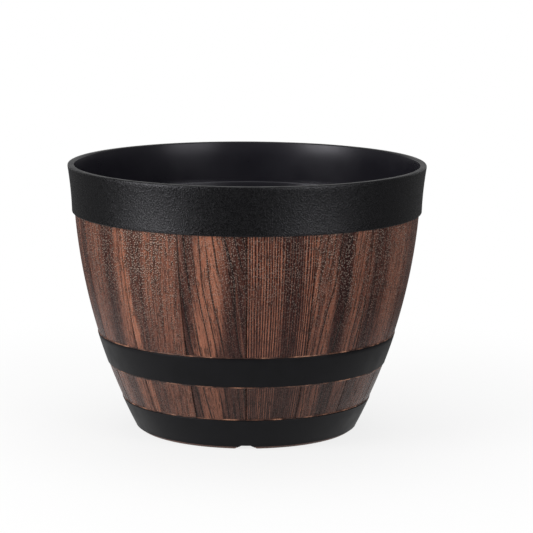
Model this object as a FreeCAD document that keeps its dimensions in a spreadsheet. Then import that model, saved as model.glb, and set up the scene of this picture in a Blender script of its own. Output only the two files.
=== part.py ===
import FreeCAD, Part
import math
import os
import Sketcher

# Driving sizes, in millimetres. The rim and the height are the planter's stated outer sizes.
driving = {
    # Outer size
    "rim_radius": 114.0,
    "planter_height": 170.0,
    # Bulged wall: every wall face is an arc about one centre
    "rim_overhang": 3.2,
    "belly_height": 169.2,
    "stave_arc": 367.0,
    "shell_wall": 2.4,
    # Relief of the staves on the shell
    "stave_count": 16,
    "joint_width": 1.2,
    "joint_depth": 0.7,
    # Foot and floor of the shell
    "foot_width": 5.0,
    "foot_chamfer": 1.0,
    "foot_recess": 3.6,
    "floor_thickness": 2.4,
    "floor_chamfer": 2.5,
    "notch_count": 4,
    "notch_depth": 2.4,
    "notch_top": 6.0,
    "notch_bottom": 13.5,
    "drain_count": 4,
    "drain_radius": 4.5,
    "drain_circle": 40.0,
    # Hoops and the lands that they sit in
    "bottom_hoop_base": 1.6,
    "bottom_hoop_width": 18.65,
    "middle_hoop_base": 43.3,
    "middle_hoop_width": 18.9,
    "land_depth": 0.8,
    "hoop_proud": 0.5,
    "hoop_fit": 0.05,
    "hoop_end_gap": 0.1,
    "hoop_chamfer": 0.4,
    "bead_height": 0.35,
    "bead_width": 0.8,
    # Rim collar
    "collar_height": 30.4,
    "collar_step": 1.7,
    "collar_flare": 230.0,
    "collar_clearance": 0.15,
    "lip_width": 4.1,
    "lip_band": 1.6,
    "lip_round": 0.9,
    "lip_chamfer": 0.8,
    "skirt_chamfer": 0.6,
    "mouth_draft": 0.9,
    "shoulder_thickness": 1.6,
    "spigot_length": 8.0,
    "spigot_wall": 1.4,
    "spigot_clearance": 0.2,
    # Liner pot
    "ledge_depth": 26.1,
    "flange_thickness": 1.5,
    "flange_clearance": 0.35,
    "throat_chamfer": 0.8,
    "liner_gap": 2.0,
    "liner_wall": 1.8,
    "liner_floor": 2.0,
    "liner_stand": 4.0,
    "liner_round": 6.0,
    # Drain plug
    "plug_hole": 7.0,
    "plug_clearance": 0.3,
    "plug_tip": 2.5,
    "plug_taper": 0.8,
    "plug_flange_radius": 11.0,
    "plug_flange_thickness": 2.0,
    "knob_neck_radius": 3.2,
    "knob_neck_height": 3.0,
    "knob_radius": 5.0,
    "knob_height": 3.0,
    "plug_chamfer": 0.8,
}


class Size:
    # A length that keeps its number together with the sheet expression that it comes from.
    def __init__(self, number, text):
        self.number = number
        self.text = text

    def __add__(self, other):
        return Size(self.number + other.number, f"({self.text} + {other.text})")

    def __sub__(self, other):
        return Size(self.number - other.number, f"({self.text} - {other.text})")

    def __mul__(self, other):
        return Size(self.number * other.number, f"({self.text} * {other.text})")

    def __truediv__(self, other):
        return Size(self.number / other.number, f"({self.text} / {other.text})")

    def __neg__(self):
        return Size(-self.number, f"(-{self.text})")

    def half(self):
        return Size(self.number / 2, f"({self.text} / 2)")

    def root(self):
        return Size(math.sqrt(self.number), f"sqrt({self.text})")


class Sizes:
    # Every driving size as an attribute of its own.
    def __init__(self, table):
        for name, number in table.items():
            setattr(self, name, Size(number, "Sizes." + name))


doc = FreeCAD.newDocument("barrel_planter")
sheet = doc.addObject("Spreadsheet::Sheet", "Sizes")
for row, (alias, number) in enumerate(driving.items(), start=1):
    sheet.set(f"A{row}", alias)
    sheet.set(f"B{row}", str(number))
    sheet.setAlias(f"B{row}", alias)
doc.recompute()

size = Sizes(driving)
zero = Size(0.0, "0")

# Heights that several pieces share
bottomHoopTop = size.bottom_hoop_base + size.bottom_hoop_width
middleHoopTop = size.middle_hoop_base + size.middle_hoop_width
floorTop = size.foot_recess + size.floor_thickness
ledgeTop = size.planter_height - size.ledge_depth
shoulderTop = ledgeTop - size.flange_thickness
shellTop = shoulderTop - size.shoulder_thickness
collarBase = size.planter_height - size.collar_height
linerBase = floorTop + size.liner_stand
linerFloorTop = linerBase + size.liner_floor

# Distances of the concentric wall faces from the wood surface, outwards positive
shellInside = -size.shell_wall
landFace = -size.land_depth
spigotOutside = shellInside - size.spigot_clearance
spigotInside = spigotOutside - size.spigot_wall
linerOutside = shellInside - size.liner_gap
linerInside = linerOutside - size.liner_wall

# Centre of the wall's arcs, as a distance from the planter's axis
wallCentre = size.rim_radius - size.rim_overhang - size.stave_arc

# Sides of an edge, seen on the way along it
left, right = 1, -1

fullTurn = 360


def wallArc(offset):
    return size.stave_arc + offset


def wallRadius(height, offset):
    # Radius from the planter's axis of the wall face that lies at an offset from the wood surface.
    rise = height - size.belly_height
    arc = wallArc(offset)
    return wallCentre + (arc * arc - rise * rise).root()


def onWall(height, offset):
    return (wallRadius(height, offset), height)


def bent(corner, radius, side):
    # Makes the edge that leaves a corner an arc, with its centre on the left or the right of its way.
    return corner + (radius, side)


def upWall(height, offset):
    return bent(onWall(height, offset), wallArc(offset), left)


def downWall(height, offset):
    return bent(onWall(height, offset), wallArc(offset), right)


def wallRound(height, offset, rise, inset):
    # Where a rounding touches the level at a height and a wall face. Its centre lies at a rise from
    # the level and at an inset from the face, towards the centre of the wall's arc.
    up = height + rise
    across = wallRadius(up, offset - inset)
    stretch = wallArc(offset) / wallArc(offset - inset)
    face = (wallCentre + (across - wallCentre) * stretch,
            size.belly_height + (up - size.belly_height) * stretch)
    return (across, height), face


def newBody(label):
    body = doc.addObject("PartDesign::Body", label)
    body.Label = label
    return body


def originFeature(body, role):
    return next(item for item in body.Origin.OriginFeatures if item.Role == role)


def newSketch(body, name, plane):
    sketch = body.newObject("Sketcher::SketchObject", name)
    sketch.AttachmentSupport = [(originFeature(body, plane), "")]
    sketch.MapMode = "FlatFace"
    return sketch


def bind(sketch, constraint, name, length):
    sketch.renameConstraint(sketch.addConstraint(constraint), name)
    sketch.setExpression("Constraints." + name, length.text)


def placePoint(sketch, edge, end, corner, name):
    # Holds one point of a sketch at its two coordinates.
    for axis, kind, length in ((-2, "DistanceX", corner[0]), (-1, "DistanceY", corner[1])):
        label = f"{kind}_{name}"
        if length.number == 0:
            sketch.addConstraint(Sketcher.Constraint("PointOnObject", edge, end, axis))
        elif length.number > 0:
            bind(sketch, Sketcher.Constraint(kind, -1, 1, edge, end, length.number), label, length)
        else:
            bind(sketch, Sketcher.Constraint(kind, edge, end, -1, 1, -length.number), label, -length)


def arcThrough(start, end, radius, side):
    # The shorter arc between two points, with its centre on the given side.
    chord = end - start
    across = FreeCAD.Vector(-chord.y, chord.x, 0).normalize() * side
    reach = math.sqrt(radius ** 2 - (chord.Length / 2) ** 2)
    return Part.Arc(start, (start + end) / 2 + across * (reach - radius), end)


def outline(body, name, plane, corners):
    # Closed outline through the corners, whose edges are straight unless a corner is bent.
    sketch = newSketch(body, name, plane)
    points = [FreeCAD.Vector(corner[0].number, corner[1].number, 0) for corner in corners]
    ends = []
    for edge, start in enumerate(points):
        end = points[(edge + 1) % len(points)]
        bend = corners[edge][2:]
        if bend:
            sketch.addGeometry(arcThrough(start, end, bend[0].number, bend[1]), False)
        else:
            sketch.addGeometry(Part.LineSegment(start, end), False)
        first = sketch.getPoint(edge, 1).distanceToPoint(start)
        last = sketch.getPoint(edge, 2).distanceToPoint(start)
        ends.append((1, 2) if first < last else (2, 1))
    for edge, corner in enumerate(corners):
        following = (edge + 1) % len(corners)
        meeting = Sketcher.Constraint("Coincident", edge, ends[edge][1], following, ends[following][0])
        sketch.addConstraint(meeting)
        placePoint(sketch, edge, ends[edge][0], corner, str(edge))
        for radius in corner[2:3]:
            bind(sketch, Sketcher.Constraint("Radius", edge, radius.number), f"Radius_{edge}", radius)
    doc.recompute()
    return sketch


def circle(body, name, plane, centre, radius):
    sketch = newSketch(body, name, plane)
    middle = FreeCAD.Vector(centre[0].number, centre[1].number, 0)
    sketch.addGeometry(Part.Circle(middle, FreeCAD.Vector(0, 0, 1), radius.number), False)
    placePoint(sketch, 0, 3, centre, "centre")
    bind(sketch, Sketcher.Constraint("Radius", 0, radius.number), "Radius_0", radius)
    doc.recompute()
    return sketch


def revolve(body, name, sketch):
    feature = body.newObject("PartDesign::Revolution", name)
    feature.Profile = sketch
    feature.ReferenceAxis = (sketch, ["V_Axis"])
    feature.Angle = fullTurn
    doc.recompute()
    return feature


def pocket(body, name, sketch, depth, side, turned=False):
    before = body.Shape.Volume
    feature = body.newObject("PartDesign::Pocket", name)
    feature.Profile = sketch
    feature.SideType = side
    feature.Reversed = turned
    feature.setExpression("Length", depth.text)
    doc.recompute()
    if body.Shape.Volume >= before:
        raise RuntimeError(name + " cuts nothing")
    return feature


def polar(body, name, originals, count):
    feature = body.newObject("PartDesign::PolarPattern", name)
    feature.Originals = originals
    feature.Axis = (originFeature(body, "Z_Axis"), [""])
    feature.Angle = fullTurn
    feature.setExpression("Occurrences", count.text)
    body.Tip = feature
    doc.recompute()
    return feature


def footNotches(body):
    # Drain notches through the foot, wider at the ground than at the top.
    corners = [
        (-size.notch_bottom.half(), zero),
        (size.notch_bottom.half(), zero),
        (size.notch_top.half(), size.notch_depth),
        (-size.notch_top.half(), size.notch_depth),
    ]
    sketch = outline(body, "notch_outline", "YZ_Plane", corners)
    notch = pocket(body, "foot_notch", sketch, size.rim_radius, "One side", turned=True)
    polar(body, "foot_notches", [notch], size.notch_count)


def staveJoint(body, name, low, high):
    # One upright groove between two staves, cut in the plane of the wall's profile.
    corners = [
        onWall(low, -size.joint_depth),
        upWall(low, size.joint_depth),
        onWall(high, size.joint_depth),
        downWall(high, -size.joint_depth),
    ]
    sketch = outline(body, name + "_outline", "XZ_Plane", corners)
    return pocket(body, name, sketch, size.joint_width, "Symmetric")


def makeShell():
    # Wood-look outer shell: bulged wall, hoop lands with raised edges, floor and notched foot.
    body = newBody("barrel_shell")
    bottomLandBase = size.bottom_hoop_base - size.hoop_end_gap
    bottomLandTop = bottomHoopTop + size.hoop_end_gap
    middleLandBase = size.middle_hoop_base - size.hoop_end_gap
    middleLandTop = middleHoopTop + size.hoop_end_gap
    lowerWoodBase = bottomLandTop + size.bead_width
    lowerWoodTop = middleLandBase - size.bead_width
    upperWoodBase = middleLandTop + size.bead_width
    footOutside = wallRadius(zero, zero)
    corners = [
        (footOutside - size.foot_width, zero),
        (footOutside - size.foot_chamfer, zero),
        onWall(size.foot_chamfer, zero),
        onWall(bottomLandBase, zero),
        upWall(bottomLandBase, landFace),
        onWall(bottomLandTop, landFace),
        onWall(bottomLandTop, size.bead_height),
        upWall(lowerWoodBase, zero),
        onWall(lowerWoodTop, zero),
        onWall(middleLandBase, size.bead_height),
        upWall(middleLandBase, landFace),
        onWall(middleLandTop, landFace),
        onWall(middleLandTop, size.bead_height),
        upWall(upperWoodBase, zero),
        onWall(shellTop, zero),
        downWall(shellTop, shellInside),
        onWall(floorTop + size.floor_chamfer, shellInside),
        (wallRadius(floorTop, shellInside) - size.floor_chamfer, floorTop),
        (zero, floorTop),
        (zero, size.foot_recess),
        (footOutside - size.foot_width, size.foot_recess),
    ]
    revolve(body, "shell_wall", outline(body, "shell_profile", "XZ_Plane", corners))
    lower = staveJoint(body, "lower_joint", lowerWoodBase, lowerWoodTop)
    upper = staveJoint(body, "upper_joint", upperWoodBase, shellTop)
    polar(body, "stave_joints", [lower, upper], size.stave_count)
    footNotches(body)
    drain = circle(body, "drain_outline", "XY_Plane", (size.drain_circle, zero), size.drain_radius)
    hole = pocket(body, "drain_hole", drain, floorTop, "One side", turned=True)
    polar(body, "drain_holes", [hole], size.drain_count)
    return body


def makeHoop(label, base, top):
    # Thin band that lies in its land and stands a little proud of the wood, with broken edges.
    body = newBody(label)
    inside = landFace + size.hoop_fit
    corners = [
        onWall(base, inside),
        (wallRadius(base, size.hoop_proud) - size.hoop_chamfer, base),
        upWall(base + size.hoop_chamfer, size.hoop_proud),
        onWall(top - size.hoop_chamfer, size.hoop_proud),
        (wallRadius(top, size.hoop_proud) - size.hoop_chamfer, top),
        downWall(top, inside),
    ]
    revolve(body, "band", outline(body, "band_profile", "XZ_Plane", corners))
    return body


def makeBottomHoop():
    body = makeHoop("bottom_hoop", size.bottom_hoop_base, bottomHoopTop)
    footNotches(body)
    return body


def makeCollar():
    # Flared rim hoop. Its spigot plugs into the shell and its shoulder carries the liner.
    body = newBody("rim_collar")
    spigotBase = shellTop - size.spigot_length
    mouth = size.rim_radius - size.lip_width
    skirt = wallRadius(collarBase, size.collar_step)
    corners = [
        (skirt - size.skirt_chamfer, collarBase),
        bent((skirt, collarBase + size.skirt_chamfer), size.collar_flare, right),
        (size.rim_radius, size.planter_height - size.lip_band),
        bent((size.rim_radius, size.planter_height - size.lip_round), size.lip_round, left),
        (size.rim_radius - size.lip_round, size.planter_height),
        (mouth + size.lip_chamfer, size.planter_height),
        (mouth, size.planter_height - size.lip_chamfer),
        (mouth - size.mouth_draft, shoulderTop),
        onWall(shoulderTop, spigotInside),
        onWall(spigotBase, spigotInside),
        onWall(spigotBase, spigotOutside),
        onWall(shellTop, spigotOutside),
        onWall(shellTop, size.collar_clearance),
        onWall(collarBase, size.collar_clearance),
    ]
    revolve(body, "collar_ring", outline(body, "collar_profile", "XZ_Plane", corners))
    return body


def makeLiner():
    # Inner pot that hangs by its flange on the collar's shoulder, with a drain hole in its floor.
    body = newBody("liner_pot")
    flange = size.rim_radius - size.lip_width - size.mouth_draft - size.flange_clearance
    outerRound = size.liner_round + size.liner_wall
    baseLevel, baseFace = wallRound(linerBase, linerOutside, outerRound, outerRound)
    floorLevel, floorFace = wallRound(linerFloorTop, linerInside, size.liner_round, size.liner_round)
    corners = [
        (size.plug_hole, linerBase),
        bent(baseLevel, outerRound, left),
        bent(baseFace, wallArc(linerOutside), left),
        onWall(shoulderTop, linerOutside),
        (flange, shoulderTop),
        (flange, ledgeTop),
        (wallRadius(ledgeTop, linerInside) + size.throat_chamfer, ledgeTop),
        downWall(ledgeTop - size.throat_chamfer, linerInside),
        bent(floorFace, size.liner_round, right),
        floorLevel,
        (size.plug_hole, linerFloorTop),
    ]
    revolve(body, "liner_wall", outline(body, "liner_profile", "XZ_Plane", corners))
    return body


def makePlug():
    # Stopper with a pull knob: its flange lies on the liner's floor round the drain hole.
    body = newBody("drain_plug")
    stem = size.plug_hole - size.plug_clearance
    tipBase = linerBase - size.plug_tip
    flangeTop = linerFloorTop + size.plug_flange_thickness
    knobBase = flangeTop + size.knob_neck_height
    knobTop = knobBase + size.knob_height
    corners = [
        (zero, tipBase),
        (stem - size.plug_taper, tipBase),
        (stem, linerBase),
        (stem, linerFloorTop),
        (size.plug_flange_radius, linerFloorTop),
        (size.plug_flange_radius, flangeTop - size.plug_chamfer),
        (size.plug_flange_radius - size.plug_chamfer, flangeTop),
        (size.knob_neck_radius, flangeTop),
        (size.knob_neck_radius, knobBase),
        (size.knob_radius - size.plug_chamfer, knobBase),
        (size.knob_radius, knobBase + size.plug_chamfer),
        (size.knob_radius, knobTop - size.plug_chamfer),
        (size.knob_radius - size.plug_chamfer, knobTop),
        (zero, knobTop),
    ]
    revolve(body, "plug_body", outline(body, "plug_profile", "XZ_Plane", corners))
    return body


pieces = [
    makeShell(),
    makeCollar(),
    makeHoop("middle_hoop", size.middle_hoop_base, middleHoopTop),
    makeBottomHoop(),
    makeLiner(),
    makePlug(),
]
doc.recompute()

for item in doc.Objects:
    if "Invalid" in item.State or "Error" in item.State:
        raise RuntimeError(f"{item.Name} failed: {item.State}")
for piece in pieces:
    if piece.Shape.isNull() or not piece.Shape.isValid() or len(piece.Shape.Solids) != 1:
        raise RuntimeError(piece.Label + " is not one valid solid")

os.makedirs("parts", exist_ok=True)
for piece in pieces:
    piece.Shape.exportStep(f"parts/{piece.Label}.step")
    box = piece.Shape.optimalBoundingBox()
    print(f"{piece.Label}: {piece.Shape.Volume / 1000:.1f} cm3, z {box.ZMin:.2f} to {box.ZMax:.2f} mm")
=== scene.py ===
import bmesh
import bpy
import math
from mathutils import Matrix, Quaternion, Vector, noise


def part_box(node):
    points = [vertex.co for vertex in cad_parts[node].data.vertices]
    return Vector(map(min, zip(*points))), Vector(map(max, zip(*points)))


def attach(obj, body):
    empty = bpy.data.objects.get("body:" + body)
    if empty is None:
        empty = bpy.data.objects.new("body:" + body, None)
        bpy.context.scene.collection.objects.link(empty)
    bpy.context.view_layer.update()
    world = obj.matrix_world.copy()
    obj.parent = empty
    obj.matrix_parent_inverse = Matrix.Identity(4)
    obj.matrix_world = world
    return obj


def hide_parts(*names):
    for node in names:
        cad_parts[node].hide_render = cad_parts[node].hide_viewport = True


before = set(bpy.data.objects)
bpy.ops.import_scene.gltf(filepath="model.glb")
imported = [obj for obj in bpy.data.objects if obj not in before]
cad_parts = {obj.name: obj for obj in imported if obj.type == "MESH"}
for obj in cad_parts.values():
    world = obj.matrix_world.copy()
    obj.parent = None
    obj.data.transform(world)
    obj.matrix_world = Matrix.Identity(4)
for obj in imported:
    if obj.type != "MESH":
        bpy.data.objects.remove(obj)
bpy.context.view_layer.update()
mm = 0.001
hair = 0.01 * mm  # lengths below this count as nothing
mergeDistance = 0.002 * mm
smoothBelow = 35  # degrees between two faces that are shaded as one surface
fullTurn = 2 * math.pi

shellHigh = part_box("barrel_shell")[1]
collarLow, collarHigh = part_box("rim_collar")
middleLow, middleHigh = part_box("middle_hoop")
bottomLow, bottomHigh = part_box("bottom_hoop")
linerLow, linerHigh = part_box("liner_pot")
plugLow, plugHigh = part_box("drain_plug")

# the bulge that every wall of the planter follows
wall = {
    "bellyRadius": 110.8 * mm,
    "bellyHeight": 169.2 * mm,
    "arc": 367 * mm,  # radius of the bulge
}


def wallRadius(z, out=0.0):
    reach = wall["arc"] + out
    return wall["bellyRadius"] - wall["arc"] + math.sqrt(reach ** 2 - (z - wall["bellyHeight"]) ** 2)


def wallRows(low, high, rowHeight, out=0.0):
    rows = max(1, round((high - low) / rowHeight))
    heights = [low + (high - low) * i / rows for i in range(rows + 1)]
    return [(wallRadius(z, out), z) for z in heights]


# a quarter or so of a small circle, for rounded edges
def roundEdge(r, z, radius, start, end, steps=5):
    angles = [math.radians(start + (end - start) * i / steps) for i in range(steps + 1)]
    return [(r + radius * math.cos(a), z + radius * math.sin(a)) for a in angles]


def azimuthOf(co):
    return math.atan2(co.x, -co.y)  # 0 at the front, positive to the right


def radiusOf(co):
    return math.hypot(co.x, co.y)


def smoothStep(low, high, value):
    share = min(1.0, max(0.0, (value - low) / (high - low)))
    return share * share * (3 - 2 * share)


# one vertex, extruded along the profile, which a screw modifier turns round the planter's axis;
# the piece is left in edit mode
def turnProfile(name, points, columns):
    bpy.ops.object.select_all(action="DESELECT")
    bpy.ops.mesh.primitive_plane_add(size=mm, location=(0, 0, 0))
    piece = bpy.context.object
    piece.name = piece.data.name = name
    bpy.ops.object.mode_set(mode="EDIT")
    bpy.ops.mesh.select_mode(type="VERT")
    bpy.ops.mesh.select_all(action="SELECT")
    bpy.ops.mesh.merge(type="CENTER")
    bpy.ops.transform.translate(value=(points[0][0], 0, points[0][1]))
    for (r0, z0), (r1, z1) in zip(points, points[1:]):
        bpy.ops.mesh.extrude_region_move(TRANSFORM_OT_translate={"value": (r1 - r0, 0, z1 - z0)})
    bpy.ops.object.mode_set(mode="OBJECT")
    turn = piece.modifiers.new("turn", "SCREW")
    turn.axis = "Z"
    turn.angle = fullTurn
    turn.steps = turn.render_steps = columns
    bpy.ops.object.modifier_apply(modifier=turn.name)
    bpy.ops.object.mode_set(mode="EDIT")
    closeMesh()
    return piece


def closeMesh():
    bpy.ops.mesh.select_all(action="SELECT")
    bpy.ops.mesh.remove_doubles(threshold=mergeDistance)
    bpy.ops.mesh.normals_make_consistent(inside=False)


def pickNear(piece, centre, radius, level=None):
    # select what lies within a radius of an upright line, at one level or at all of them
    bpy.ops.mesh.select_all(action="DESELECT")
    mesh = bmesh.from_edit_mesh(piece.data)
    for vert in mesh.verts:
        inReach = math.hypot(vert.co.x - centre.x, vert.co.y - centre.y) < radius + hair
        vert.select = inReach and (level is None or abs(vert.co.z - level) < hair)
    mesh.select_flush(True)
    bmesh.update_edit_mesh(piece.data)


def finishPiece(piece, body, node):
    bpy.ops.object.mode_set(mode="OBJECT")
    bpy.ops.object.select_all(action="DESELECT")
    piece.select_set(True)
    bpy.context.view_layer.objects.active = piece
    bpy.ops.object.shade_smooth_by_angle(angle=math.radians(smoothBelow))
    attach(piece, body)
    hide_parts(node)
    print(piece.name, "has", len(piece.data.polygons), "faces")


# notches under the foot
foot = {
    "notches": 4,
    "notchDepth": 2.4 * mm,
    "notchTop": 6.0 * mm,
    "notchBottom": 13.5 * mm,
}


# height of the foot notches' ceiling over a point of the foot ring
def notchHeight(co):
    turn = fullTurn / foot["notches"]
    angle = azimuthOf(co)
    side = abs(math.sin(angle - turn * round(angle / turn))) * radiusOf(co)
    top, bottom = foot["notchTop"] / 2, foot["notchBottom"] / 2
    return foot["notchDepth"] * min(1.0, max(0.0, (bottom - side) / (bottom - top)))


def pressNotches(piece, lip=None, inset=0.0):
    # lift what hangs into a notch to its ceiling, and draw a lip that the notch cuts through back in
    for vert in piece.data.vertices:
        co = vert.co
        ceiling = notchHeight(co)
        if co.z >= ceiling:
            continue
        co.z = ceiling
        if lip is not None and ceiling > lip:
            shrink = min(1.0, wallRadius(ceiling, -inset) / radiusOf(co))
            co.x *= shrink
            co.y *= shrink


# barrel shell
shell = {
    "thickness": 2.4 * mm,
    "footWidth": 5.0 * mm,
    "footChamfer": 1.0 * mm,
    "footRecess": 3.6 * mm,
    "floorTop": 6.0 * mm,
    "floorChamfer": 2.5 * mm,
    "floorRim": 52.0 * mm,
    "hoopGap": 0.1 * mm,
    "landDepth": 0.8 * mm,
    "beadHeight": 0.35 * mm,
    "beadWidth": 0.8 * mm,
    "beadSteps": [(0, 0.6), (0.25, 1.0), (0.6, 0.8)],  # shares of its width and height
    "staves": 16,
    "columnsPerStave": 64,
    "rowHeight": 2.2 * mm,
    "hiddenRowHeight": 9.0 * mm,
    "insideRowHeight": 18.0 * mm,
    "jointDepth": 0.5 * mm,
    "jointWidth": 1.1 * mm,
    "easedWidth": 1.6 * mm,
    "easedDepth": 0.05 * mm,
    "toneRelief": 0.12 * mm,
    "grainRelief": 0.10 * mm,
    "grainPitch": (90, 3.1, 22),  # per radian around, per stave and per metre upwards
    "drainHoles": 4,
    "drainRadius": 4.5 * mm,
    "drainCircle": 40.0 * mm,
    "drainSides": 32,
}

staveAngle = fullTurn / shell["staves"]
bottomLand = (bottomLow.z - shell["hoopGap"], bottomHigh.z + shell["hoopGap"])
middleLand = (middleLow.z - shell["hoopGap"], middleHigh.z + shell["hoopGap"])
lowerWood = (bottomLand[1] + shell["beadWidth"], middleLand[0] - shell["beadWidth"])
upperWood = (middleLand[1] + shell["beadWidth"], shellHigh.z)

# how the bands of the staves run up the wall
bands = {
    "level": 100 * mm,        # height at which a band lies where its stave puts it
    "driftHeight": 100 * mm,  # height over which a stave's slant and lean are given
    "sway": 1.4,              # degrees, the same across a stave
    "swaysPerMetre": 24,
    "swaysPerStave": 7.3,
    "ripple": 0.7,            # degrees, different across a stave
    "ripplesPerMetre": 60,
    "ripplesPerDegree": 0.9,
    "paintedLowLightHeights": (42 * mm, 65 * mm),
    "fade": (0.40, 1.50),     # half widths from a band's centre
}

# Eight stave looks, left to right over the front half, and again over the back.
# bands: centre and width in degrees from the stave's left edge, and tone, below 0 dark and above 0 light
# low: tone added below the middle hoop, painted light on the staves left of the front and painted shade
# on those to its right, as the key lamp lights the lower wall from the left
# slant, lean: degrees that the grain and the bands drift to the right over the drift height
# lines, comb, flecks: strength of the growth lines, the fine stripes and the grit, whose grains carry
# painted glints and painted shadows, strongest on the staves where the lamps glint
staveLooks = [
    {
        "bands": [(4, 6, -0.5), (13, 7, 0.1), (20, 5, -0.7)],
        "slant": 0, "lean": 0, "low": 0.2, "lines": 0.3, "comb": 0.0, "gritWithGlints": 0.5,
    },
    {
        "bands": [(6, 9, 0.4), (14, 5, -0.7), (20.5, 4.5, 0.9)],
        "slant": 2, "lean": 2, "low": 0.25, "lines": 0.4, "comb": 0.0, "gritWithGlints": 0.8,
    },
    {
        "bands": [(0.5, 3.5, 1.7), (5.5, 6, -0.25), (15.5, 12, 0.5)],
        "slant": 2, "lean": -2, "low": 0.25, "lines": 0.5, "comb": 0.0, "gritWithGlints": 1.3,
    },
    {
        "bands": [(2.0, 4, -0.7), (9.2, 8.6, 1.3), (19, 7, -0.7)],
        "slant": -6, "lean": 2, "low": 0.1, "lines": 1.0, "comb": 0.0, "gritWithGlints": 0.55,
    },
    {
        "bands": [(6, 13, -0.15), (15.5, 6, -1.4), (20, 3, 0.0)],
        "slant": 0, "lean": 0, "low": -0.4, "lines": 0.1, "comb": 1.0, "gritWithGlints": 0.5,
    },
    {
        "bands": [(1, 1.5, 1.0), (5.5, 6, 0.45), (11.5, 6, -1.15), (18, 8, 0.3)],
        "slant": 4, "lean": -1, "low": -0.15, "lines": 0.9, "comb": 0.0, "gritWithGlints": 0.75,
    },
    {
        "bands": [(5, 8, -0.7), (15, 10, 0.3)],
        "slant": 2, "lean": 2, "low": 0.0, "lines": 0.4, "comb": 0.2, "gritWithGlints": 0.75,
    },
    {
        "bands": [(6, 6, -0.4), (16, 8, 0.1)],
        "slant": 0, "lean": 0, "low": 0.0, "lines": 0.3, "comb": 0.0, "gritWithGlints": 0.5,
    },
]


def beadRows(edge, away):
    # raised wood edge beside a hoop, from the hoop's side outwards
    rise, reach = shell["beadHeight"], shell["beadWidth"] * away
    steps = [(edge + reach * along, rise * out) for along, out in shell["beadSteps"]]
    return [(wallRadius(z, out), z) for z, out in steps]


def landRows(land):
    return wallRows(land[0], land[1], shell["hiddenRowHeight"], -shell["landDepth"])


def shellProfile():
    footOutside = wallRadius(0)
    footInside = footOutside - shell["footWidth"]
    inside = -shell["thickness"]
    chamfer, corner = shell["footChamfer"], shell["floorChamfer"]
    floorTop = shell["floorTop"]
    points = [
        (shell["floorRim"], shell["footRecess"]),
        (footInside, shell["footRecess"]),
        (footInside, 0),
        (footOutside - chamfer, 0),
        (wallRadius(chamfer), chamfer),
        (wallRadius(bottomLand[0]), bottomLand[0]),
    ]
    points += landRows(bottomLand) + beadRows(bottomLand[1], 1)
    points += wallRows(*lowerWood, shell["rowHeight"])
    points += beadRows(middleLand[0], -1)[::-1] + landRows(middleLand) + beadRows(middleLand[1], 1)
    points += wallRows(*upperWood, shell["rowHeight"])
    points += wallRows(floorTop + corner, upperWood[1], shell["insideRowHeight"], inside)[::-1]
    points += [(wallRadius(floorTop, inside) - corner, floorTop), (shell["floorRim"], floorTop)]
    return points


def fillFloor(piece):
    # close both faces of the floor round the drain holes
    levels = (shell["footRecess"], shell["floorTop"])
    radius, sides = shell["drainRadius"], shell["drainSides"]
    for i in range(shell["drainHoles"]):
        angle = fullTurn * i / shell["drainHoles"]
        centre = Vector((math.cos(angle), math.sin(angle), 0)) * shell["drainCircle"]
        for level in levels:
            place = (centre.x, centre.y, level)
            bpy.ops.mesh.primitive_circle_add(vertices=sides, radius=radius, location=place)
        pickNear(piece, centre, radius)
        bpy.ops.mesh.bridge_edge_loops()
    for level in levels:
        pickNear(piece, Vector((0, 0, 0)), shell["floorRim"], level)
        bpy.ops.mesh.fill(use_beauty=True)


def staveAt(co):
    # look and number of the stave at a point, and the point's degrees from its left edge
    place = (azimuthOf(co) + fullTurn / 4) / staveAngle
    index = math.floor(place)
    degrees = (place - index) * math.degrees(staveAngle)
    return staveLooks[index % len(staveLooks)], index, degrees


def toneAt(co):
    look, index, degrees = staveAt(co)
    swayPlace = (index * bands["swaysPerStave"], 0, co.z * bands["swaysPerMetre"])
    ripplePlace = (degrees * bands["ripplesPerDegree"], index, co.z * bands["ripplesPerMetre"])
    sway, ripple = noise.noise(Vector(swayPlace)), noise.noise(Vector(ripplePlace))
    drift = look["lean"] * (co.z - bands["level"]) / bands["driftHeight"]
    shifted = degrees - drift + bands["sway"] * sway + bands["ripple"] * ripple
    # below the middle hoop: painted light on the staves left of the front, painted shade on those to its
    # right
    tone = look["low"] * (1 - smoothStep(*bands["paintedLowLightHeights"], co.z))
    for centre, width, depth in look["bands"]:
        away = abs(shifted - centre) / (width / 2)
        tone += depth * (1 - smoothStep(*bands["fade"], away))
    return tone


def isWood(co):
    onWall = abs(radiusOf(co) - wallRadius(co.z)) < hair
    return onWall and any(low - hair < co.z < high + hair for low, high in (lowerWood, upperWood))


def carveStaves(piece):
    # stave joints, eased board edges and grain, moved along the wall's radius
    layers = {"tone": [], "lines": [], "comb": [], "gritWithGlints": [], "slant": []}
    for vert in piece.data.vertices:
        co = vert.co
        look, index, degrees = staveAt(co)
        tone = toneAt(co)
        layers["tone"].append(tone)
        layers["slant"].append(math.radians(look["slant"]) * wall["bellyRadius"] / bands["driftHeight"])
        for name in ("lines", "comb", "gritWithGlints"):
            layers[name].append(look[name])
        if not isWood(co):
            continue
        radius = radiusOf(co)
        fromJoint = math.radians(min(degrees, math.degrees(staveAngle) - degrees)) * radius
        push = -shell["jointDepth"] * (1 - smoothStep(0.0, shell["jointWidth"] / 2, fromJoint))
        push -= shell["easedDepth"] * (1 - smoothStep(0.0, shell["easedWidth"], fromJoint))
        push += shell["toneRelief"] * tone * smoothStep(0.0, shell["easedWidth"], fromJoint)
        around, apart, upwards = shell["grainPitch"]
        grain = Vector((azimuthOf(co) * around, index * apart, co.z * upwards))
        push += shell["grainRelief"] * noise.noise(grain)
        co.x *= 1 + push / radius
        co.y *= 1 + push / radius
    for name, values in layers.items():
        layer = piece.data.attributes.new(name, "FLOAT", "POINT")
        layer.data.foreach_set("value", values)


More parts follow.
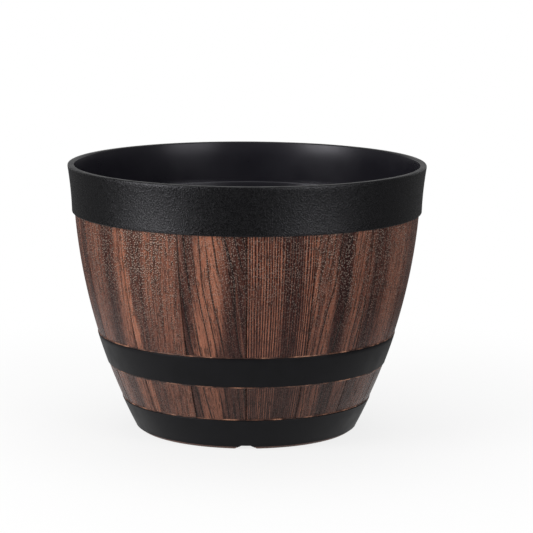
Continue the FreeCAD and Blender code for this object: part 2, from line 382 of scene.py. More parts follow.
def assignShellMaterials(piece, materials):
    # wood look, rubbed edge with a painted highlight, and plain brown
    for material in materials:
        piece.data.materials.append(material)
    for face in piece.data.polygons:
        z, radius = face.center.z, radiusOf(face.center)
        outside = radius > wallRadius(z, -shell["thickness"] / 2)
        wooden = lowerWood[0] < z < lowerWood[1] or z > upperWood[0]
        onBead = z > bottomLand[1] and not middleLand[0] < z < middleLand[1]
        if outside and wooden:
            face.material_index = 0
        elif outside and onBead:
            face.material_index = 1
        else:
            face.material_index = 2


def makeShell(materials):
    columns = shell["staves"] * shell["columnsPerStave"]
    piece = turnProfile("barrelShell", shellProfile(), columns)
    fillFloor(piece)
    closeMesh()
    bpy.ops.object.mode_set(mode="OBJECT")
    carveStaves(piece)
    pressNotches(piece, bottomLand[0], shell["landDepth"])
    bpy.ops.object.mode_set(mode="EDIT")
    closeMesh()
    bpy.ops.object.mode_set(mode="OBJECT")
    assignShellMaterials(piece, materials)
    finishPiece(piece, "barrel", "barrel_shell")


# rim collar
collar = {
    "height": 30.4 * mm,
    "step": 1.7 * mm,    # skirt beyond the planter's wall
    "flare": 230 * mm,   # radius of the hollow face
    "skirtRound": 0.6 * mm,
    "lipBand": 1.6 * mm,
    "lipWidth": 4.1 * mm,
    "lipRound": 0.9 * mm,
    "mouthDraft": 0.9 * mm,
    "mouthFlare": 5,  # a higher number widens the mouth nearer to the lip
    "mouthRows": 20,
    "shoulderHeight": 142.4 * mm,
    "spigotOut": -2.6 * mm,  # beyond the planter's wall
    "spigotWall": 1.4 * mm,
    "skirtGap": 0.15 * mm,
    "rowHeight": 1.5 * mm,
    "columns": 512,
}


def flareRows(start, end, radius, rowHeight):
    # hollow curve from the skirt up to the lip
    (r0, z0), (r1, z1) = start, end
    chord = Vector((r1 - r0, z1 - z0))
    half = chord.length / 2
    across = Vector((chord.y, -chord.x)).normalized()
    centre = Vector((r0 + r1, z0 + z1)) / 2 + across * math.sqrt(radius ** 2 - half ** 2)
    rows = round(chord.length / rowHeight)
    points = []
    for i in range(rows + 1):
        z = z0 + (z1 - z0) * i / rows
        points.append((centre.x - math.sqrt(radius ** 2 - (z - centre.y) ** 2), z))
    return points


def collarProfile():
    rim, top = collarHigh.x, collarHigh.z
    base = top - collar["height"]
    skirt = wallRadius(base, collar["step"])
    mouth = rim - collar["lipWidth"]
    edge, lip = collar["skirtRound"], collar["lipRound"]
    shoulder = collar["shoulderHeight"]
    spigotIn = collar["spigotOut"] - collar["spigotWall"]
    points = roundEdge(skirt - edge, base + edge, edge, -90, 0)
    flareStart, flareEnd = (skirt, base + edge), (rim, top - collar["lipBand"])
    points += flareRows(flareStart, flareEnd, collar["flare"], collar["rowHeight"])
    points += roundEdge(rim - lip, top - lip, lip, 0, 90)
    points += roundEdge(mouth + lip, top - lip, lip, 90, 180)
    # the mouth widens towards the lip, most of it in the last few millimetres
    for i in range(1, collar["mouthRows"] + 1):
        down = i / collar["mouthRows"]
        narrowed = collar["mouthDraft"] * (1 - (1 - down) ** collar["mouthFlare"])
        points.append((mouth - narrowed, top - lip + (shoulder - top + lip) * down))
    points += [
        (wallRadius(shoulder, spigotIn), shoulder),
        (wallRadius(collarLow.z, spigotIn), collarLow.z),
        (wallRadius(collarLow.z, collar["spigotOut"]), collarLow.z),
        (wallRadius(shellHigh.z, collar["spigotOut"]), shellHigh.z),
        (wallRadius(shellHigh.z, collar["skirtGap"]), shellHigh.z),
        (wallRadius(base, collar["skirtGap"]), base),
    ]
    points.append(points[0])
    return points


def makeCollar(grained, smooth, matt):
    piece = turnProfile("rimCollar", collarProfile(), collar["columns"])
    bpy.ops.object.mode_set(mode="OBJECT")
    for material in (grained, smooth, matt):
        piece.data.materials.append(material)
    for face in piece.data.polygons:
        z = face.center.z
        outwards = face.normal.x * face.center.x + face.normal.y * face.center.y
        if z > collarHigh.z - collar["lipRound"] / 2:
            face.material_index = 2
        elif outwards < 0 and z > collar["shoulderHeight"] - hair:
            face.material_index = 1
        else:
            face.material_index = 0
    finishPiece(piece, "barrel", "rim_collar")


# hoops
hoop = {
    "proud": 0.5 * mm,   # outer and inner face beyond the planter's wall
    "seat": -0.75 * mm,
    "edgeRound": 0.4 * mm,
    "edgeSteps": 3,
    "rowHeight": 2.2 * mm,
    "seatRowHeight": 4.4 * mm,
    "columns": 768,
}


def hoopProfile(low, high):
    edge, steps = hoop["edgeRound"], hoop["edgeSteps"]
    lowRadius = wallRadius(low + edge, hoop["proud"])
    highRadius = wallRadius(high - edge, hoop["proud"])
    points = [(wallRadius(low, hoop["seat"]), low)]
    points += roundEdge(lowRadius - edge, low + edge, edge, -90, 0, steps)
    points += wallRows(low + edge, high - edge, hoop["rowHeight"], hoop["proud"])
    points += roundEdge(highRadius - edge, high - edge, edge, 0, 90, steps)
    points += wallRows(low, high, hoop["seatRowHeight"], hoop["seat"])[::-1]
    return points


def makeHoop(name, node, box, material, notched):
    piece = turnProfile(name, hoopProfile(box[0].z, box[1].z), hoop["columns"])
    bpy.ops.object.mode_set(mode="OBJECT")
    if notched:
        pressNotches(piece)
    piece.data.materials.append(material)
    finishPiece(piece, "barrel", node)


# liner pot
liner = {
    "out": -4.4 * mm,  # beyond the planter's wall
    "wall": 1.8 * mm,
    "floor": 2.0 * mm,
    "round": 6.0 * mm,
    "roundSteps": 8,
    "flange": 1.5 * mm,
    "flangeRound": 0.3 * mm,
    "flangeSteps": 3,
    "throatRound": 0.8 * mm,
    "throatSteps": 4,
    "drainHole": 7.0 * mm,
    "rowHeight": 6.0 * mm,
    "columns": 320,
}


def wallRound(level, out, radius):
    # rounding between a floor at a level and the wall, from the floor outwards
    centreZ = level + radius
    centreR = wallRadius(centreZ, out - radius)
    lean = math.degrees(math.atan2(wall["bellyHeight"] - centreZ, wall["arc"]))
    return roundEdge(centreR, centreZ, radius, -90, -lean, liner["roundSteps"])


def linerProfile():
    base, top = linerLow.z, linerHigh.z
    inside = liner["out"] - liner["wall"]
    rim, throat = liner["flangeRound"], liner["throatRound"]
    shoulder = top - liner["flange"]
    outerRound = wallRound(base, liner["out"], liner["round"] + liner["wall"])
    innerRound = wallRound(base + liner["floor"], inside, liner["round"])
    throatTop = wallRadius(top - throat, inside)
    points = [(liner["drainHole"], base)] + outerRound
    points += wallRows(outerRound[-1][1], shoulder, liner["rowHeight"], liner["out"])
    points += [(linerHigh.x, shoulder)]
    points += roundEdge(linerHigh.x - rim, top - rim, rim, 0, 90, liner["flangeSteps"])
    points += roundEdge(throatTop + throat, top - throat, throat, 90, 180, liner["throatSteps"])
    points += wallRows(innerRound[-1][1], top - throat, liner["rowHeight"], inside)[::-1]
    points += innerRound[::-1] + [(liner["drainHole"], base + liner["floor"])]
    points.append(points[0])
    return points


def makeLiner(material):
    piece = turnProfile("linerPot", linerProfile(), liner["columns"])
    piece.data.materials.append(material)
    finishPiece(piece, "liner", "liner_pot")


# drain plug
plug = {
    "stem": 6.7 * mm,
    "taper": 0.8 * mm,
    "flange": 11.0 * mm,
    "flangeHeight": 2.0 * mm,
    "neck": 3.2 * mm,
    "neckHeight": 3.0 * mm,
    "knob": 5.0 * mm,
    "edge": 0.8 * mm,
    "fillet": 0.6 * mm,
    "filletSteps": 4,
    "columns": 96,
}


def plugProfile():
    tip, top = plugLow.z, plugHigh.z
    base = linerLow.z
    seat = base + liner["floor"]
    flangeTop = seat + plug["flangeHeight"]
    knobBase = flangeTop + plug["neckHeight"]
    edge, fillet = plug["edge"], plug["fillet"]
    tipRadius = plug["stem"] - plug["taper"]
    points = [(0, tip), (tipRadius - edge, tip), (tipRadius, tip + edge)]
    points += [(plug["stem"], base), (plug["stem"], seat), (plug["flange"], seat)]
    points += roundEdge(plug["flange"] - edge, flangeTop - edge, edge, 0, 90)
    neckCentre = plug["neck"] + fillet
    points += roundEdge(neckCentre, flangeTop + fillet, fillet, 270, 180, plug["filletSteps"])
    points += [(plug["neck"], knobBase)]
    points += roundEdge(plug["knob"] - edge, knobBase + edge, edge, -90, 0)
    points += roundEdge(plug["knob"] - edge, top - edge, edge, 0, 90)
    points += [(0, top)]
    return points


def makePlug(material):
    piece = turnProfile("drainPlug", plugProfile(), plug["columns"])
    piece.data.materials.append(material)
    finishPiece(piece, "plug", "drain_plug")


noiseSpan = (0.3, 0.7)  # holds most of what a noise gives


# material helpers: a value may be a number or another node's socket
def newMaterial(name):
    material = bpy.data.materials.new(name)
    material.use_nodes = True
    return material, material.node_tree, material.node_tree.nodes["Principled BSDF"]


def feed(tree, socket, value):
    if isinstance(value, bpy.types.NodeSocket):
        tree.links.new(value, socket)
    else:
        socket.default_value = value


def calculate(tree, operation, a, b=0.0):
    node = tree.nodes.new("ShaderNodeMath")
    node.operation = operation
    feed(tree, node.inputs[0], a)
    feed(tree, node.inputs[1], b)
    return node.outputs[0]


def plus(tree, total, *others):
    for other in others:
        total = calculate(tree, "ADD", total, other)
    return total


def times(tree, product, *others):
    for other in others:
        product = calculate(tree, "MULTIPLY", product, other)
    return product


def minus(tree, a, b):
    return calculate(tree, "SUBTRACT", a, b)


def fromHalf(tree, value):
    return minus(tree, value, 0.5)


def ease(tree, value, low, high, toLow=0.0, toHigh=1.0):
    node = tree.nodes.new("ShaderNodeMapRange")
    node.interpolation_type = "SMOOTHSTEP"
    for name, number in (("From Min", low), ("From Max", high), ("To Min", toLow), ("To Max", toHigh)):
        node.inputs[name].default_value = number
    feed(tree, node.inputs["Value"], value)
    return node.outputs["Result"]


def vector(tree, x, y, z):
    node = tree.nodes.new("ShaderNodeCombineXYZ")
    for socket, value in zip(node.inputs, (x, y, z)):
        feed(tree, socket, value)
    return node.outputs[0]


def noiseOf(tree, source, scale, detail=2.0, roughness=0.5):
    node = tree.nodes.new("ShaderNodeTexNoise")
    feed(tree, node.inputs["Vector"], source)
    node.inputs["Scale"].default_value = scale
    node.inputs["Detail"].default_value = detail
    node.inputs["Roughness"].default_value = roughness
    return node.outputs["Fac"]


def cells(tree, source, scale):
    node = tree.nodes.new("ShaderNodeTexVoronoi")
    feed(tree, node.inputs["Vector"], source)
    node.inputs["Scale"].default_value = scale
    return node


def ramp(tree, value, stops):
    node = tree.nodes.new("ShaderNodeValToRGB")
    band = node.color_ramp
    while len(band.elements) < len(stops):
        band.elements.new(0.5)
    for element, (place, colour) in zip(band.elements, stops):
        element.position = place
        element.color = (*colour, 1)
    feed(tree, node.inputs["Fac"], value)
    return node.outputs["Color"]


def mixColour(tree, share, a, b):
    node = tree.nodes.new("ShaderNodeMix")
    node.data_type = "RGBA"
    feed(tree, node.inputs["Factor"], share)
    colourA = next(s for s in node.inputs if s.identifier == "A_Color")
    colourB = next(s for s in node.inputs if s.identifier == "B_Color")
    for socket, value in ((colourA, a), (colourB, b)):
        feed(tree, socket, value if isinstance(value, bpy.types.NodeSocket) else (*value, 1))
    return next(s for s in node.outputs if s.identifier == "Result_Color")


def bump(tree, height, strength, distance):
    node = tree.nodes.new("ShaderNodeBump")
    feed(tree, node.inputs["Height"], height)
    node.inputs["Strength"].default_value = strength
    node.inputs["Distance"].default_value = distance
    return node.outputs["Normal"]


def objectCoords(tree):
    return tree.nodes.new("ShaderNodeTexCoord").outputs["Object"]


def attribute(tree, name):
    node = tree.nodes.new("ShaderNodeAttribute")
    node.attribute_name = name
    return node.outputs["Fac"]


# wood-look surface of the staves
woodLook = {
    "dark": (0.025, 0.0062, 0.0048),
    "middle": (0.108, 0.0388, 0.0252),
    "light": (0.284, 0.107, 0.062),
    "stops": (0.12, 0.48, 0.85),
    "black": (0.008, 0.005, 0.004),
    # colour of the painted glint on the grit's grains
    "paintedGlint": (0.55, 0.42, 0.34),
    "jointCore": 0.15 * mm,
    "jointWidth": 0.5 * mm,
    "jointInk": 0.75,
    "grainInk": 0.9,
    "poreSpan": (0.57, 0.64),  # noise from no pore to a whole one
    "poreInk": 0.7,
    # painted shadow in each grain's pit, and painted glint on each grain
    "shadowPitInk": 1.0,
    "paintedGlintInk": 0.65,
    "linePitch": 5.2 * mm,
    "lineWarp": 2.6,           # pitches
    "lineEdge": (0.04, 0.13),  # pitches from a line's middle
    "lineBreaks": (0.36, 0.46),  # noise from a gap to a whole line
    "stripesPerStave": 25,
    "stripeWaver": 9.0,        # radians
    "stripeWear": (0.30, 0.62),  # noise from a worn stripe to a whole one
    "wornStripe": 0.3,
    "paintedShadeHeights": (25 * mm, 140 * mm),
    "shade": (0.34, 0.46),     # plain tone at and beyond those heights: the wall is darker towards the foot as painted shade on the lower wall, which faces down
    "dull": (0.060, 0.037, 0.031),
    "dullHeights": (42 * mm, 75 * mm),
    "dullShare": (0.28, 0.0),  # at and beyond those heights
    # the grit, with its painted glints and shadows, grows towards the upper wall, where the lamps glint
    "gritHeights": (55 * mm, 140 * mm),
    "gritShare": (0.2, 1.0),   # at and beyond those heights
    "gritPatches": (0.30, 0.60),  # noise from a bare patch to a gritty one
    "barePatch": 0.35,
    "gritPerMetre": 900,
    "gritChance": (0.15, 0.75),  # random share, from no grain to a whole one
    "gritEdge": (0.20, 0.38),  # cells from a grain's middle
    "gritShadow": (-0.20 * mm, 0.50 * mm),  # from a grain's painted shadow to the grain, along the arc and upwards
    "bump": 1.0,
    "bumpDepth": 0.5 * mm,
    "staveStep": 0.37,         # noise steps from stave to stave
    "sheenPerMetre": 420,
    "roughness": (0.20, 0.30),
    "specular": 0.28,
}

# steps per metre across and along the grain, levels of detail and their roughness
woodNoise = {
    "broad": (150, 8, 3, 0.5),
    "fibre": (900, 14, 3, 0.6),
    "pores": (1500, 170, 1, 0.5),
    "warp": (40, 12, 1, 0.5),
    "breaks": (240, 14, 1, 0.5),
    "waver": (160, 14, 2, 0.5),
    "wear": (420, 45, 1, 0.5),
    "patches": (150, 24, 2, 0.5),
}

# what each layer adds to the tone, and to the height of the bump
toneShares = {"bands": 0.30, "fibre": 0.95, "broad": 0.40, "stripes": 0.50}
heightShares = {"fibre": 0.6, "ink": -0.7, "stripes": 0.25, "grit": 0.5}


def woodNoiseOf(tree, grain, name):
    across, along, detail, roughness = woodNoise[name]
    node = tree.nodes.new("ShaderNodeVectorMath")
    node.operation = "MULTIPLY"
    feed(tree, node.inputs[0], grain)
    node.inputs[1].default_value = (across, 1, along)
    return noiseOf(tree, node.outputs[0], 1.0, detail, roughness)


def woodPlace(tree, coords):
    # share of the way across the stave, height, arc length that drifts with the grain,
    # and the last two as a vector that differs from stave to stave
    split = tree.nodes.new("ShaderNodeSeparateXYZ")
    feed(tree, split.inputs[0], coords)
    x, y, z = split.outputs
    azimuth = calculate(tree, "ARCTAN2", x, times(tree, y, -1.0))
    place = calculate(tree, "DIVIDE", azimuth, staveAngle)
    stave = calculate(tree, "FLOOR", place)
    across = calculate(tree, "FRACT", place)
    drift = times(tree, attribute(tree, "slant"), minus(tree, z, bands["level"]))
    arc = minus(tree, times(tree, azimuth, wall["bellyRadius"]), drift)
    return across, z, arc, vector(tree, arc, times(tree, stave, woodLook["staveStep"]), z)


def growthLines(tree, grain, arc):
    # dark lines that wander and break off
    warp = times(tree, woodNoiseOf(tree, grain, "warp"), woodLook["lineWarp"])
    phase = plus(tree, times(tree, arc, 1 / woodLook["linePitch"]), warp)
    away = calculate(tree, "ABSOLUTE", fromHalf(tree, calculate(tree, "FRACT", phase)))
    thin = ease(tree, away, *woodLook["lineEdge"], 1.0, 0.0)
    broken = ease(tree, woodNoiseOf(tree, grain, "breaks"), *woodLook["lineBreaks"])
    return times(tree, thin, broken, attribute(tree, "lines"))


def pinStripes(tree, grain, across):
    # fine straight stripes, worn away in places
    waver = times(tree, woodNoiseOf(tree, grain, "waver"), woodLook["stripeWaver"])
    turns = plus(tree, times(tree, across, woodLook["stripesPerStave"] * fullTurn), waver)
    wear = woodNoiseOf(tree, grain, "wear")
    worn = ease(tree, wear, *woodLook["stripeWear"], woodLook["wornStripe"], 1.0)
    return times(tree, calculate(tree, "SINE", turns), worn, attribute(tree, "comb"))


def gritGrains(tree, across, upwards):
    # small round grains, each with a strength of its own
    node = cells(tree, vector(tree, across, upwards, 0.0), woodLook["gritPerMetre"])
    node.voronoi_dimensions = "2D"
    chance = tree.nodes.new("ShaderNodeSeparateColor")
    feed(tree, chance.inputs["Color"], node.outputs["Color"])
    strength = ease(tree, chance.outputs["Red"], *woodLook["gritChance"])
    return times(tree, ease(tree, node.outputs["Distance"], *woodLook["gritEdge"], 1.0, 0.0), strength)


def makeWood():
    material, tree, shader = newMaterial("woodLookStaves")
    coords = objectCoords(tree)
    across, z, arc, grain = woodPlace(tree, coords)

    # brown that changes from band to band and along the fibres
    broad = woodNoiseOf(tree, grain, "broad")
    fibre = woodNoiseOf(tree, grain, "fibre")
    stripes = pinStripes(tree, grain, across)
    tone = plus(
        tree,
        # the plain tone darkens towards the foot: painted shade on the lower wall, which faces down
        ease(tree, z, *woodLook["paintedShadeHeights"], *woodLook["shade"]),
        # the bands' tone, with the painted light and shade below the middle hoop
        times(tree, attribute(tree, "tone"), toneShares["bands"]),
        times(tree, fromHalf(tree, fibre), toneShares["fibre"]),
        times(tree, fromHalf(tree, broad), toneShares["broad"]),
        times(tree, stripes, toneShares["stripes"]),
    )
    browns = (woodLook["dark"], woodLook["middle"], woodLook["light"])
    colour = ramp(tree, tone, list(zip(woodLook["stops"], browns)))
    dull = ease(tree, z, *woodLook["dullHeights"], *woodLook["dullShare"])
    colour = mixColour(tree, dull, colour, woodLook["dull"])

    # black in the growth lines, the pores and the joints
    pores = ease(tree, woodNoiseOf(tree, grain, "pores"), *woodLook["poreSpan"])
    lines = growthLines(tree, grain, arc)
    ink = calculate(tree, "MAXIMUM", lines, times(tree, pores, woodLook["poreInk"]))
    colour = mixColour(tree, times(tree, ink, woodLook["grainInk"]), colour, woodLook["black"])
    edge = minus(tree, 0.5, calculate(tree, "ABSOLUTE", fromHalf(tree, across)))
    fromJoint = times(tree, edge, staveAngle * wall["bellyRadius"])
    jointSpan = (woodLook["jointCore"], woodLook["jointWidth"])
    joint = ease(tree, fromJoint, *jointSpan, woodLook["jointInk"], 0.0)
    colour = mixColour(tree, joint, colour, woodLook["black"])

    # embossed grit in patches, strongest on the upper wall: each grain is a bump with a painted glint,
    # and a painted shadow below it in a pit
    patchNoise = woodNoiseOf(tree, grain, "patches")
    patches = ease(tree, patchNoise, *woodLook["gritPatches"], woodLook["barePatch"], 1.0)
    rise = ease(tree, z, *woodLook["gritHeights"], *woodLook["gritShare"])
    gritGlintStrength = times(tree, patches, attribute(tree, "gritWithGlints"), rise)
    beside, below = woodLook["gritShadow"]
    grains = gritGrains(tree, arc, z)
    shadowPits = gritGrains(tree, plus(tree, arc, beside), plus(tree, z, below))
    # painted shadow below each grain, then a painted glint on each grain
    shadowPitShare = times(tree, shadowPits, gritGlintStrength, woodLook["shadowPitInk"])
    colour = mixColour(tree, shadowPitShare, colour, woodLook["black"])
    paintedGlintShare = times(tree, grains, gritGlintStrength, woodLook["paintedGlintInk"])
    colour = mixColour(tree, paintedGlintShare, colour, woodLook["paintedGlint"])
    feed(tree, shader.inputs["Base Color"], colour)

    height = plus(
        tree,
        times(tree, fibre, heightShares["fibre"]),
        times(tree, ink, heightShares["ink"]),
        times(tree, stripes, heightShares["stripes"]),
        times(tree, minus(tree, grains, shadowPits), gritGlintStrength, heightShares["grit"]),
    )
    feed(tree, shader.inputs["Normal"], bump(tree, height, woodLook["bump"], woodLook["bumpDepth"]))
    sheen = noiseOf(tree, coords, woodLook["sheenPerMetre"])
    feed(tree, shader.inputs["Roughness"], ease(tree, sheen, *noiseSpan, *woodLook["roughness"]))
    shader.inputs["Specular IOR Level"].default_value = woodLook["specular"]
    return material


# rubbed edges of the wood beside the hoops, lighter brown as wear and as a painted highlight where the
# beads catch the light
rubbedLitLook = {
    "dark": (0.030, 0.013, 0.010),
    "middle": (0.110, 0.047, 0.030),
    "light": (0.32, 0.155, 0.098),
    "stops": (0.42, 0.54, 0.66),
    "wearPerMetre": 110,
    "wearDetail": 3.0,
    "wearRoughness": 0.6,
    "grainPerMetre": 900,
    "bump": 0.4,
    "bumpDepth": 0.3 * mm,
    "roughness": 0.5,
    "specular": 0.3,
}


def makeRubbedLit():
    material, tree, shader = newMaterial("rubbedLitWoodEdge")
    coords = objectCoords(tree)
    wearDetail = (rubbedLitLook["wearDetail"], rubbedLitLook["wearRoughness"])
    wear = noiseOf(tree, coords, rubbedLitLook["wearPerMetre"], *wearDetail)
    browns = (rubbedLitLook["dark"], rubbedLitLook["middle"], rubbedLitLook["light"])
    feed(tree, shader.inputs["Base Color"], ramp(tree, wear, list(zip(rubbedLitLook["stops"], browns))))
    grain = noiseOf(tree, coords, rubbedLitLook["grainPerMetre"])
    feed(tree, shader.inputs["Normal"], bump(tree, grain, rubbedLitLook["bump"], rubbedLitLook["bumpDepth"]))
    shader.inputs["Roughness"].default_value = rubbedLitLook["roughness"]
    shader.inputs["Specular IOR Level"].default_value = rubbedLitLook["specular"]
    return material


# leather-grained black of the rim collar
leatherLook = {
    "dark": (0.0020, 0.0020, 0.0023),
    "light": (0.0045, 0.0045, 0.0050),
    "cloudsPerMetre": 500,
    "pebblesPerMetre": 1300,
    "pebbleDetail": 1.0,
    "pebbleSpan": (0.4, 0.6),  # noise from the pits to the tops
    "pebbleShare": 1.6,
    "cellsPerMetre": 1400,
    "cellShare": 0.4,
    "bump": 0.42,
    "bumpDepth": 0.4 * mm,
    "roughness": (0.42, 0.17),  # in the pits, on the tops
    "specular": 0.40,
    "specularTint": (0.95, 0.94, 1.0),
}


def makeLeather():
    material, tree, shader = newMaterial("leatherGrainBlack")
    coords = objectCoords(tree)
    cloud = noiseOf(tree, coords, leatherLook["cloudsPerMetre"])
    tint = ramp(tree, cloud, list(zip(noiseSpan, (leatherLook["dark"], leatherLook["light"]))))
    feed(tree, shader.inputs["Base Color"], tint)
    pebbles = noiseOf(tree, coords, leatherLook["pebblesPerMetre"], leatherLook["pebbleDetail"])
    creased = cells(tree, coords, leatherLook["cellsPerMetre"])
    creased.feature = "SMOOTH_F1"
    creases = times(tree, creased.outputs["Distance"], leatherLook["cellShare"])
    height = plus(tree, times(tree, pebbles, leatherLook["pebbleShare"]), creases)
    normal = bump(tree, height, leatherLook["bump"], leatherLook["bumpDepth"])
    feed(tree, shader.inputs["Normal"], normal)
    roughness = ease(tree, pebbles, *leatherLook["pebbleSpan"], *leatherLook["roughness"])
    feed(tree, shader.inputs["Roughness"], roughness)
    shader.inputs["Specular IOR Level"].default_value = leatherLook["specular"]
    shader.inputs["Specular Tint"].default_value = (*leatherLook["specularTint"], 1)
    return material


# plain plastics and rubber: a cloudy tint, a fine bump and a roughness that follows the clouds
cloudDetail = 3.0
plastics = {
    "mouldedBrown": {
        "dark": (0.085, 0.038, 0.027), "light": (0.14, 0.064, 0.045), "cloudsPerMetre": 60,
        "grainPerMetre": 1200, "bump": 0.25, "bumpDepth": 0.2 * mm,
        "roughness": (0.46, 0.54), "specular": 0.5, "specularTint": (1.0, 1.0, 1.0),
    },
    "mattBlackHoop": {
        "dark": (0.0030, 0.0030, 0.0036), "light": (0.0048, 0.0048, 0.0058), "cloudsPerMetre": 90,
        "grainPerMetre": 1600, "bump": 0.12, "bumpDepth": 0.1 * mm,
        "roughness": (0.40, 0.48), "specular": 0.19, "specularTint": (0.97, 0.96, 1.0),
    },
    "glossyBlackLiner": {
        "dark": (0.0115, 0.0109, 0.0150), "light": (0.0165, 0.0157, 0.0210), "cloudsPerMetre": 40,
        "grainPerMetre": 300, "bump": 0.06, "bumpDepth": 0.2 * mm,
        "roughness": (0.27, 0.34), "specular": 0.44, "specularTint": (0.95, 0.93, 1.0),
    },
    "plugRubber": {
        "dark": (0.014, 0.014, 0.014), "light": (0.026, 0.026, 0.026), "cloudsPerMetre": 300,
        "grainPerMetre": 2500, "bump": 0.3, "bumpDepth": 0.1 * mm,
        "roughness": (0.66, 0.74), "specular": 0.5, "specularTint": (1.0, 1.0, 1.0),
    },
}


def makePlastic(name):
    look = plastics[name]
    material, tree, shader = newMaterial(name)
    coords = objectCoords(tree)
    cloud = noiseOf(tree, coords, look["cloudsPerMetre"], cloudDetail)
    tint = ramp(tree, cloud, list(zip(noiseSpan, (look["dark"], look["light"]))))
    feed(tree, shader.inputs["Base Color"], tint)
    grain = noiseOf(tree, coords, look["grainPerMetre"])
    feed(tree, shader.inputs["Normal"], bump(tree, grain, look["bump"], look["bumpDepth"]))
    feed(tree, shader.inputs["Roughness"], ease(tree, cloud, *noiseSpan, *look["roughness"]))
    shader.inputs["Specular IOR Level"].default_value = look["specular"]
    shader.inputs["Specular Tint"].default_value = (*look["specularTint"], 1)
    return material


hoopMaterial = makePlastic("mattBlackHoop")
linerMaterial = makePlastic("glossyBlackLiner")
makeShell([makeWood(), makeRubbedLit(), makePlastic("mouldedBrown")])
makeCollar(makeLeather(), linerMaterial, hoopMaterial)
makeHoop("middleHoop", "middle_hoop", (middleLow, middleHigh), hoopMaterial, False)
makeHoop("bottomHoop", "bottom_hoop", (bottomLow, bottomHigh), hoopMaterial, True)
makeLiner(linerMaterial)
makePlug(makePlastic("plugRubber"))

# floor, light and camera
stage = {
    "floorSize": 40.0,
    "floorColour": (0.9, 0.9, 0.9),
    "floorRoughness": 0.9,
    "floorSpecular": 0.1,
    "sink": 0.05 * mm,
    "nearGlow": 0.80,      # share of pure white by the foot, which grows to 1 far off
    "nearRadius": 0.12,
    "farRadius": 0.4,
    "mirroredCentre": (-0.07, 0.0, 0.0),
    "mirroredNear": 0.62,  # brightness of the floor and the world as the black plastic mirrors them; the floor's is a painted pool of light, bright near its centre and dim far off
    "mirroredFar": 0.12,
    "mirroredWorld": 0.15,
    "ambient": 0.32,       # strength of the world as a light
}


def distanceFrom(tree, centre):
    node = tree.nodes.new("ShaderNodeVectorMath")
    node.operation = "DISTANCE"
    feed(tree, node.inputs[0], objectCoords(tree))
    node.inputs[1].default_value = centre
    return node.outputs["Value"]


def makeFloor():
    bpy.ops.object.select_all(action="DESELECT")
    bpy.ops.mesh.primitive_plane_add(size=stage["floorSize"], location=(0, 0, -stage["sink"]))
    floor = bpy.context.object
    floor.name = "studioFloor"
    material, tree, shader = newMaterial("paleFloor")
    shader.inputs["Base Color"].default_value = (*stage["floorColour"], 1)
    shader.inputs["Roughness"].default_value = stage["floorRoughness"]
    shader.inputs["Specular IOR Level"].default_value = stage["floorSpecular"]
    path = tree.nodes.new("ShaderNodeLightPath").outputs
    seen = plus(tree, path["Is Camera Ray"], path["Is Transmission Ray"])
    mirrored = path["Is Glossy Ray"]
    # white to look at, less so by the foot to keep the planter's shadow, and dimmer in black plastic,
    # where it shows a painted pool of light, brightest by the foot and off to the left
    span = (stage["nearRadius"], stage["farRadius"])
    white = ease(tree, distanceFrom(tree, (0, 0, 0)), *span, stage["nearGlow"], 1.0)
    mirroredAway = distanceFrom(tree, stage["mirroredCentre"])
    mirroredPoolGlow = ease(tree, mirroredAway, *span, stage["mirroredNear"], stage["mirroredFar"])
    glow = tree.nodes.new("ShaderNodeEmission")
    feed(tree, glow.inputs["Strength"], plus(tree, seen, times(tree, mirrored, mirroredPoolGlow)))
    blend = tree.nodes.new("ShaderNodeMixShader")
    feed(tree, blend.inputs[0], plus(tree, times(tree, seen, white), mirrored))
    feed(tree, blend.inputs[1], shader.outputs[0])
    feed(tree, blend.inputs[2], glow.outputs[0])
    feed(tree, tree.nodes["Material Output"].inputs["Surface"], blend.outputs[0])
    floor.data.materials.append(material)


def makeWorld():
    world = bpy.data.worlds.new("studioWorld")
    bpy.context.scene.world = world
    world.use_nodes = True
    tree = world.node_tree
    background = tree.nodes["Background"]
    background.inputs["Color"].default_value = (1, 1, 1, 1)
    path = tree.nodes.new("ShaderNodeLightPath").outputs
    seen = plus(tree, path["Is Camera Ray"], path["Is Transmission Ray"])
    seen = times(tree, seen, 1 - stage["ambient"])
    mirrored = times(tree, path["Is Glossy Ray"], stage["mirroredWorld"] - stage["ambient"])
    feed(tree, background.inputs["Strength"], plus(tree, seen, mirrored, stage["ambient"]))


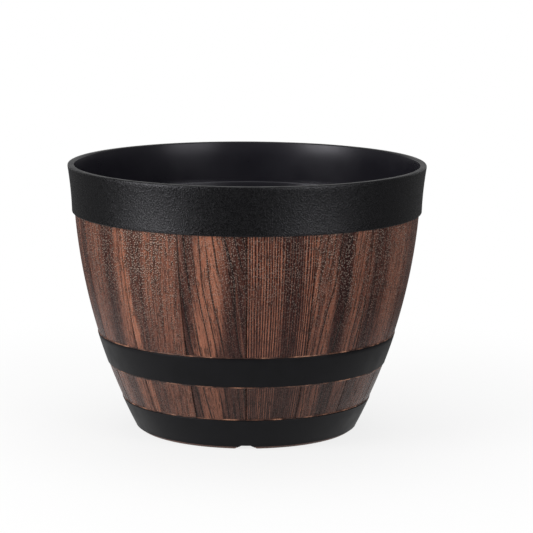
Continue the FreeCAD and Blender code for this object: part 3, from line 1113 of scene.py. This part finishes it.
# soft boxes: two that stand beside the view, one above and a weak one behind;
# azimuth and tilt in degrees, lengths in metres
lamps = {
    "keyLeft": {
        "azimuth": -58, "reach": 0.80, "height": 0.42, "tilt": 0,
        "size": (0.46, 0.84), "watts": 5.8,
    },
    "fillRight": {
        "azimuth": 42, "reach": 0.80, "height": 0.42, "tilt": 0,
        "size": (0.46, 0.84), "watts": 3.2,
    },
    "topSoft": {
        "azimuth": 180, "reach": 0.25, "height": 1.3, "tilt": 79,
        "size": (0.9, 0.9), "watts": 6.0,
    },
    "backFill": {
        "azimuth": 180, "reach": 1.0, "height": 0.5, "tilt": 22,
        "size": (1.9, 0.8), "watts": 2.4,
    },
}


def makeLamp(name, lamp):
    azimuth, tilt = math.radians(lamp["azimuth"]), math.radians(lamp["tilt"])
    outwards = Vector((math.sin(azimuth), -math.cos(azimuth), 0))
    place = outwards * lamp["reach"] + Vector((0, 0, lamp["height"]))
    bpy.ops.object.light_add(type="AREA", location=place)
    light = bpy.context.object
    light.name = name
    facing = outwards * math.cos(tilt) + Vector((0, 0, math.sin(tilt)))
    light.rotation_euler = facing.to_track_quat("Z", "Y").to_euler()
    light.data.shape = "RECTANGLE"
    light.data.size, light.data.size_y = lamp["size"]
    light.data.energy = lamp["watts"]


camera = {
    "distance": 1608.4 * mm,
    "height": 376.8 * mm,
    "tilt": 9.658,       # degrees down
    "roll": 0.335,       # degrees
    "sensorWidth": 36,   # millimetres
    "imageSize": 533,    # pixels
    "focal": 2548.2,     # pixels
    "offset": 20.04,     # pixels that the planter's axis lies left of the image's centre
    "clipEnd": 60,       # metres
}


def makeCamera():
    bpy.ops.object.camera_add(location=(0, -camera["distance"], camera["height"]))
    eye = bpy.context.object
    eye.data.sensor_width = camera["sensorWidth"]
    eye.data.lens = camera["sensorWidth"] * camera["focal"] / camera["imageSize"]
    swing = math.atan2(camera["offset"], camera["focal"])
    level = Quaternion((0, 0, 1), -swing) @ Quaternion((1, 0, 0), math.radians(90 - camera["tilt"]))
    turned = level @ Quaternion((0, 0, 1), math.radians(camera["roll"]))
    eye.rotation_euler = turned.to_euler()
    eye.data.clip_end = camera["clipEnd"]
    bpy.context.scene.camera = eye


makeFloor()
makeWorld()
for lampName, lampValues in lamps.items():
    makeLamp(lampName, lampValues)
makeCamera()
bpy.context.scene.view_settings.view_transform = "Standard"
print("stage ready")
